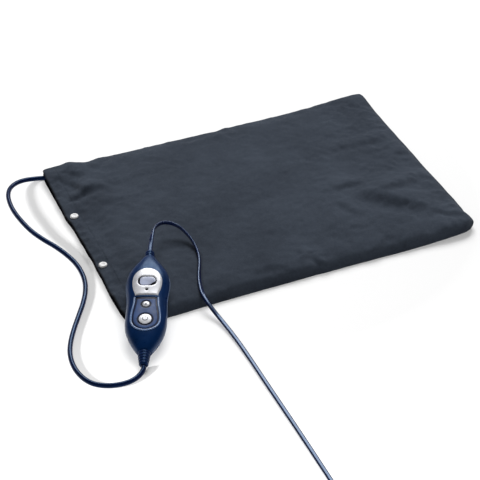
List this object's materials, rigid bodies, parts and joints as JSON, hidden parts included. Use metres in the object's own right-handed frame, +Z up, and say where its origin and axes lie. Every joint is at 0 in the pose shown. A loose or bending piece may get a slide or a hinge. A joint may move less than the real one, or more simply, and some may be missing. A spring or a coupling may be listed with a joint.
{
  "type": "heating pad with controller",
  "caption": "Flat electric heating pad in a slate cotton cover with press snaps, wired to a moulded navy hand controller with display and push buttons, with a mains flex and plug.",
  "frame": {"origin": "centre of the pad's underside, on the surface that it lies on", "axes": "+Z up out of the pad, +X along the pad's long side, away from the cover's mouth, +Y along its short side, away from the controller"},
  "size_m": [0.5423, 0.7781, 0.0436],
  "materials": {
    "cover_cotton": "matte woven cotton",
    "insert_felt": "needled felt",
    "element_sheath": "smooth",
    "black_plastic": "moulded",
    "snap_white": "satin",
    "snap_inner": "moulded",
    "navy_gloss": "polished",
    "silver_lacquer": "silver lacquer",
    "window_pane": "clear, faintly tinted",
    "display_face": "matte",
    "lamp_smoke": "smoked, clear",
    "key_panel": "satin inlay",
    "plunger_white": "moulded",
    "board_green": "solder resist",
    "capacitor_blue": "moulded",
    "fuse_glass": "clear",
    "screw_steel": "zinc plated",
    "boot_rubber": "satin",
    "pad_cord_pvc": "smooth, slightly glossy",
    "mains_cord_pvc": "smooth, slightly glossy",
    "tie_strap": "matte",
    "plug_pvc": "satin",
    "pin_nickel": "nickel plated"
  },
  "bodies": {
    "pad_and_controller": {"pad_cover": "cover_cotton", "insert_base_felt": "insert_felt", "insert_top_felt": "insert_felt", "heating_wire": "element_sheath", "thermal_cutout": "black_plastic", "junction_block": "black_plastic", "snap_cap_1": "snap_white", "snap_socket_1": "snap_inner", "snap_stud_1": "snap_inner", "snap_back_1": "snap_white", "snap_cap_2": "snap_white", "snap_socket_2": "snap_inner", "snap_stud_2": "snap_inner", "snap_back_2": "snap_white", "front_shell": "navy_gloss", "back_shell": "navy_gloss", "display_bezel": "silver_lacquer", "display_lens": "window_pane", "display_module": "display_face", "indicator_light": "lamp_smoke", "keypad_panel": "key_panel", "level_switch": "black_plastic", "power_switch": "black_plastic", "circuit_board": "board_green", "microcontroller": "black_plastic", "triac": "black_plastic", "suppression_capacitor": "capacitor_blue", "fuse": "fuse_glass", "housing_screw_1": "screw_steel", "housing_screw_2": "screw_steel", "housing_screw_3": "screw_steel", "housing_screw_4": "screw_steel", "mains_boot": "boot_rubber", "pad_cord_boot": "boot_rubber", "pad_cord": "pad_cord_pvc", "mains_cord": "mains_cord_pvc", "mains_cord_coil": "mains_cord_pvc", "cord_tie": "tie_strap", "plug_body": "plug_pvc", "plug_pin_1": "pin_nickel", "plug_pin_2": "pin_nickel"},
    "level_key": {"level_button": "silver_lacquer", "level_plunger": "plunger_white"},
    "power_key": {"power_button": "silver_lacquer", "power_plunger": "plunger_white"}
  },
  "joints": [
    {"name": "level_press", "type": "slide", "parent": "pad_and_controller", "child": "level_key", "axis": [0.0687, 0.161, -0.9846], "range_m": [0, 0.0008], "stiffness_N_per_m": 500},
    {"name": "power_press", "type": "slide", "parent": "pad_and_controller", "child": "power_key", "axis": [0.0687, 0.161, -0.9846], "range_m": [0, 0.0008], "stiffness_N_per_m": 700}
  ]
}
